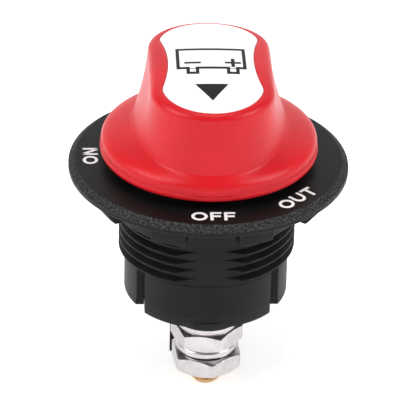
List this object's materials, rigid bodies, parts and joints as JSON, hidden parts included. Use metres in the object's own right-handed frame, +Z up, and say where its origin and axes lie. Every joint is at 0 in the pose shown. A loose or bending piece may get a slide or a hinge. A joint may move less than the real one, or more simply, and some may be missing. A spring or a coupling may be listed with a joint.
{
  "type": "battery switch",
  "caption": "Panel-mounted battery isolator switch: red key knob over a black flange, threaded barrel and nutted terminal studs.",
  "frame": {"origin": "on the switch axis, in the plane of the panel that the lugs under the flange rest on", "axes": "+Z up along the switch axis out of the panel, -Y towards the front, where OFF is marked, +X to the right seen from the front"},
  "size_m": [0.069, 0.069, 0.0838],
  "materials": {
    "black_plastic": "moulded black plastic, finely textured on the flange's bevel, satin on the barrel",
    "red_plastic": "satin red moulded plastic with a fine even grain",
    "white_label": "smooth white inlay with printed black battery sign and arrow",
    "plated_steel": "bright nickel plate with light handling marks",
    "bare_steel": "drawn or turned steel, lightly oiled",
    "stud_brass": "turned brass, slightly tarnished",
    "bridge_copper": "rolled copper bar with sheared edges",
    "contact_silver": "silver contact faces",
    "nylon": "natural nylon, slightly waxy",
    "seal_rubber": "greased black rubber"
  },
  "bodies": {
    "case": {"housing": "black_plastic", "shaft_seal": "seal_rubber", "base": "black_plastic", "base_screws": "plated_steel", "stud_front": "stud_brass", "stud_rear": "stud_brass", "stud_contacts": "contact_silver", "stud_washers": "plated_steel", "boss_nuts": "plated_steel", "spring_washers": "plated_steel", "terminal_nuts": "plated_steel", "thrust_washer": "bare_steel", "return_spring": "bare_steel"},
    "turning_sleeve": {"rotor": "nylon"},
    "key_knob": {"knob": "red_plastic", "knob_label": "white_label", "key_shaft": "bare_steel", "knob_screw": "plated_steel"},
    "contact_slider": {"contact_carrier": "nylon", "contact_bridge": "bridge_copper", "bridge_contacts": "contact_silver", "contact_spring": "bare_steel", "bridge_clip": "bare_steel"}
  },
  "joints": [
    {"name": "knob_turn", "type": "hinge", "parent": "case", "child": "turning_sleeve", "pos_m": [0, 0, 0.01], "axis": [0, 0, 1], "range_deg": [-90, 45]},
    {"name": "knob_pull", "type": "slide", "parent": "turning_sleeve", "child": "key_knob", "axis": [0, 0, 1], "range_m": [0, 0.03]},
    {"name": "contact_slide", "type": "slide", "parent": "case", "child": "contact_slider", "axis": [0, 0, 1], "range_m": [-0.00301, 0.00151], "deforming": ["return_spring"]}
  ],
  "couplings": [
    {"joint": "contact_slide", "follows": "knob_turn", "m_per_rad": 0.0019099}
  ]
}
